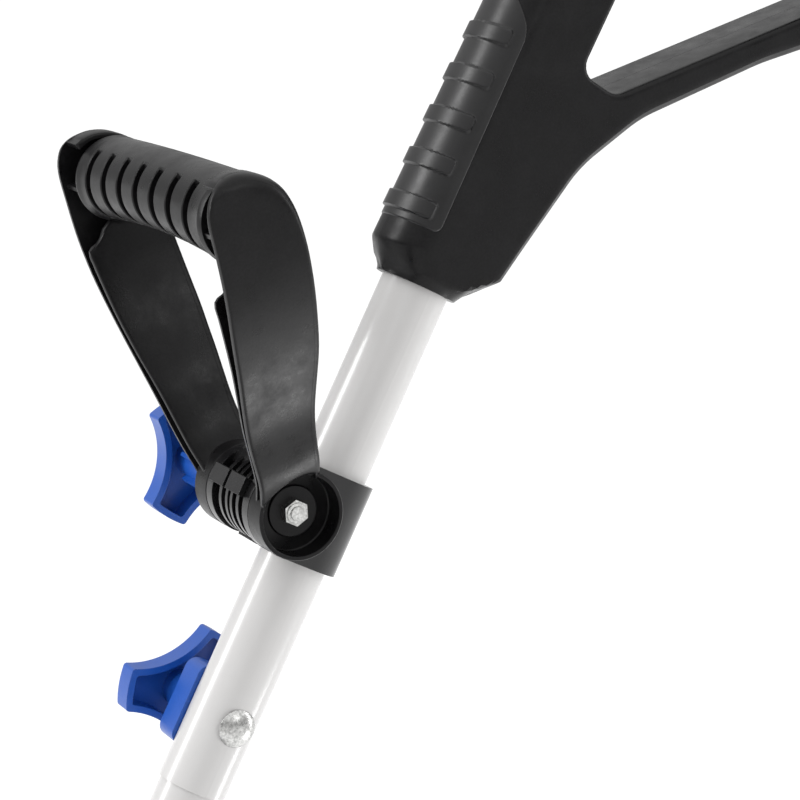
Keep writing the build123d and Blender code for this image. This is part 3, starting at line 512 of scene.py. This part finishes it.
# ---------------------------------------------------------------- assist handle
def curve(points, steps):
    """Smooth open chain through points (Catmull-Rom)."""
    p = np.array([points[0]] + list(points) + [points[-1]], float)
    out = []
    for i in range(1, len(p) - 2):
        for k in np.arange(steps) / steps:
            out.append(0.5 * (2 * p[i] + (p[i + 1] - p[i - 1]) * k
                              + (2 * p[i - 1] - 5 * p[i] + 4 * p[i + 1] - p[i + 2]) * k ** 2
                              + (3 * p[i] - p[i - 1] - 3 * p[i + 1] + p[i + 2]) * k ** 3))
    return np.array(out + [p[-1]])


hub_r, cup_r = 19.1, 17.3          # outside of an arm's hub, and the cup in it
arm_wall, plate_wall = 2.6, 2.3    # outer plate with its rim band, and inner plate
rib_w, rib_b = 2, (-15, 9.5)       # ribs between the plates
# Half widths (t, x) of the outside and the inside of the arms, which flare towards the crossbar.
flare_out = curve([(-6, 33), (10, 33.6), (24, 42), (48, 50), (80, 65.5), (108, 76.3), (130, 79.6),
                   (160, 79.9)], 8)
flare_in = curve([(-6, 21), (10, 23.5), (24, 33), (48, 41.5), (65, 50), (80, 56.5), (95, 60.8),
                  (108, 63.3), (130, 64.8), (160, 65)], 8)
# Side view (t, b) of an arm: up its rear edge, over the top, down its front edge, round the hub.
rear_edge = [(12.9, -13.1), (30, -13.5), (45, -15.4), (60, -18.3), (75, -20.9), (95, -22.6),
             (115, -23.8), (130, -24.9), (138, -24.6), (144.5, -22.8), (150, -19), (154.4, -13.4),
             (156.8, -7.2), (157.1, -1.5), (155.6, 3.6), (152, 7.8)]
front_edge = [(144.5, 11.1), (130, 12.7), (112, 14.4), (95, 15.5), (75, 15.8), (55, 15.9),
              (40, 15.7), (24, 15.1), (10.6, 14.8)]
cup_arc = [(18.2 * cos(a), 18.2 * sin(a)) for a in np.linspace(radians(52), radians(-43), 14)]
arm_edge = np.vstack([curve(rear_edge + front_edge, 4), cup_arc])
# The inner plate stops short of the crossbar, with a stepped end.
plate_rear = [(13.5, -12.6), (30, -13.1), (45, -15.0), (60, -17.9), (75, -20.5), (95, -22.3), (116, -23.0)]
plate_end = [(120, -22.6), (120.4, -10), (119.6, 1.5), (117.4, 5.6), (114.2, 8.4), (112.8, 10.6),
             (112.2, 13.2), (110.9, 14.9), (108.5, 15.5)]
plate_front = [(104, 15.5), (84, 15.7), (66, 15.5), (53, 15.1), (36, 14.5), (22, 14.1), (12, 14.0)]
plate_edge = np.vstack([curve(plate_rear, 4), plate_end, curve(plate_front, 4), cup_arc])
hub_profile = [(21.0, 3.2), (21.0, 18.6), (21.4, hub_r), (32.5, hub_r), (33.0, 18.7), (33.0, 17.7),
               (32.7, cup_r), (23.5, cup_r), (23.0, 16.8), (23.0, 11.4), (23.2, 11.0), (24.2, 11.0),
               (24.5, 10.7), (24.5, 3.2)]


def x_out(t):
    return np.interp(t, *flare_out.T)


def x_in(t):
    return np.interp(t, *flare_in.T)


def arm_gap(p):
    return away(p, arm_edge, np.roll(arm_edge, -1, 0))


def outer_face(p):
    """Outside of an arm: crisp along the front edge, broadly rounded over the top."""
    rear = 0.8 * ramp(-p[:, 1], -2, 6)
    over = 4.6 * ramp(p[:, 0], 116, 146) * ramp(-p[:, 1], -9, 4)
    return x_out(p[:, 0]) - rounding(arm_gap(p), 0.9 + rear + over)


def inset(chain, amount):
    """Open chain moved to its left by an amount."""
    along = np.gradient(chain, axis=0)
    along /= np.linalg.norm(along, axis=1)[:, None]
    return chain + along[:, ::-1] * (-1, 1) * amount


def arm(form, way):
    """Outer plate, rim band along the rear, inner plate, two ribs and the hub cup."""
    slab(form, [arm_edge], lambda p, g: way * outer_face(p),
         lambda p, g: way * np.minimum(x_out(p[:, 0]) - arm_wall, outer_face(p) - 0.9),
         [0.25, 0.6, 1.1, 1.8, 2.7, 3.9, 5.4], 4.0)
    rear = curve(rear_edge[:-1], 4)
    band = np.vstack([rear, inset(rear, arm_wall)[::-1]])
    slab(form, [band], lambda p, g: way * (outer_face(p) - 0.03),
         lambda p, g: way * (x_in(p[:, 0]) + rounding(arm_gap(p), 1.3)), [0.5, 1.1], 3.0)
    slab(form, [plate_edge], lambda p, g: way * (x_in(p[:, 0]) + plate_wall),
         lambda p, g: way * (x_in(p[:, 0]) + rounding(g, 0.9)), [0.3, 0.7, 1.4], 4.5)
    for t in (47, 137):
        low, high = t - rib_w / 2, t + rib_w / 2
        rib = np.array([(low, rib_b[0]), (high, rib_b[0]), (high, rib_b[1]), (low, rib_b[1])])
        slab(form, [rib], lambda p, g: way * (x_out(p[:, 0]) - 1), lambda p, g: way * (x_in(p[:, 0]) + 1),
             [], 6.0)
    form.lathe([(way * x, r) for x, r in hub_profile])


# Crossbar: half length and centre, radius at its ends, how much less that is in the middle, and
# how far the middle bows out. The slots face one way, with flat floors, and a thin parting line
# runs along the bar.
bar_half, bar_t, bar_b = 65.5, 135.8, -7.2
bar_r, bar_waist, bar_bow = 17.75, 1.3, 2.7
slot_pitch, slot_shift, slot_half, slot_depth = 16.8, -1.0, 2.5, 4.6
slot_turn, slot_flat = 79.5, 8.9
slot_centres = [slot_pitch * (i - 3) + slot_shift for i in range(7)]
line_from, line_to, line_rise = 326.9, 329.0, 0.14


def bar_radius(x, angle):
    """Radius of the crossbar at a place along it and a direction round it."""
    size = abs(x)
    full = bar_r - bar_waist * (1 - (x / bar_half) ** 2)
    full += 0.5 * ramp(size, 60.5, 62.2) - 0.7 * ramp(size, 63.2, 65)
    radius = full
    flat = slot_flat / max(cos(radians(angle - slot_turn)), 0.2)
    if flat < full:
        near = min(abs(x - c) for c in slot_centres)
        lip = full - 0.35 * (1 - float(ramp(near, slot_half, slot_half + 0.6)))
        floor_r = max(full - slot_depth, flat)
        radius = lip
        if near < slot_half - 1e-6:
            radius = floor_r + (lip - floor_r) * float(ramp(near, slot_half - 0.2, slot_half))
    return radius + (line_rise if line_from < angle < line_to else 0)


def crossbar(form):
    """Bowed grip, thicker at its ends, with seven finger slots."""
    stations = {way * x for x in (bar_half, 63.2, 62.2, 60.5) for way in (-1, 1)}
    for c in slot_centres:
        stations |= {c + d for d in (-5.6, -4.0, -3.1, -2.75, -2.5, -2.3, 0, 2.3, 2.5, 2.75, 3.1, 4.0, 5.6)}
    extra = {19.2, 20.4, 138.6, 139.8, 326.6, 327.4, 328.6, 329.4}
    angles = sorted(set(np.arange(0, 360, 4.0)) | extra)
    rings = []
    for x in sorted(stations):
        middle_t = bar_t + bar_bow * (1 - (x / bar_half) ** 2)
        ring = []
        for angle in angles:
            r = bar_radius(x, angle)
            ring.append((x, middle_t + r * cos(radians(angle)), bar_b + r * sin(radians(angle))))
        rings.append(ring)
    form.loft(rings)


def assist():
    form = Form()
    for way in (1, -1):
        arm(form, way)
    crossbar(form)
    o = form.piece("assist_frame", "black_plastic", "assist_handle", 30, place=on_arm)
    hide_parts("assist_handle")


assist()

# ---------------------------------------------------------------- stage
floor_half = 40
floor_corners = [(-floor_half, -floor_half, 0), (floor_half, -floor_half, 0),
                 (floor_half, floor_half, 0), (-floor_half, floor_half, 0)]
floor_mesh = bpy.data.meshes.new("floor")
floor_mesh.from_pydata(floor_corners, [], [(0, 1, 2, 3)])
floor = bpy.data.objects.new("floor", floor_mesh)
bpy.context.scene.collection.objects.link(floor)
floor_white = grained("floor_white", (0.93, 0.93, 0.93), 0.9, mottle=0.0, bevel=0, specular=0.0)
floor_mesh.materials.append(floor_white)

# Dome: bright overhead, dim near the horizon, so that upright faces keep their depth.
dome_low, dome_high = 0.55, 1.35
world = bpy.data.worlds.new("studio")
bpy.context.scene.world = world
world.use_nodes = True
tree = world.node_tree
back = tree.nodes["Background"]
back.inputs["Color"].default_value = (1, 1, 1, 1)
where = new_node(tree, "ShaderNodeTexCoord")
split = new_node(tree, "ShaderNodeSeparateXYZ")
tree.links.new(where.outputs["Generated"], split.inputs[0])
strength = remap(tree, split.outputs["Z"], 0.25, 0.75, dome_low, dome_high)
tree.links.new(strength, back.inputs["Strength"])


def lamp(name, toward, distance, size, watts):
    """Rectangular soft light, aimed at the clamp from a direction in the row frame."""
    data = bpy.data.lights.new(name, "AREA")
    data.shape, data.size, data.size_y = "RECTANGLE", size[0], size[1]
    data.energy = watts
    o = bpy.data.objects.new(name, data)
    bpy.context.scene.collection.objects.link(o)
    outward = Vector(toward).normalized()
    o.location = hub + outward * distance
    o.rotation_mode = "QUATERNION"
    o.rotation_quaternion = (-outward).to_track_quat("-Z", "Y")
    o.visible_camera = False


lamp("key", (-0.45, -1.0, 0.5), 2.2, (0.5, 1.5), 30)
lamp("side", (0.86, 0.2, 0.5), 1.6, (0.5, 0.5), 2.0)
lamp("rim", (0.22, 0.92, 0.1), 2.0, (0.12, 1.8), 8)
lamp("bounce", (0.3, 0.64, -0.72), 0.75, (0.2, 0.2), 0.9)

# ---------------------------------------------------------------- camera
eye_x, eye_s, eye_n = 947.2, 48.1, 548.4
turn, tip = radians(28.14), radians(13.09)
look = Vector((-cos(turn) * cos(tip), sin(turn) * cos(tip), -sin(tip)))
camera = bpy.data.objects.new("camera", bpy.data.cameras.new("camera"))
bpy.context.scene.collection.objects.link(camera)
camera.data.lens = 115.5
camera.data.sensor_width = 36
camera.data.clip_start, camera.data.clip_end = 0.05, 200
camera.location = hub + Vector((eye_x, 0, 0)) * MM + up * eye_s * MM + front * eye_n * MM
camera.rotation_mode = "QUATERNION"
camera.rotation_quaternion = look.to_track_quat("-Z", "Y")
bpy.context.scene.camera = camera
bpy.context.scene.view_settings.view_transform = "Standard"
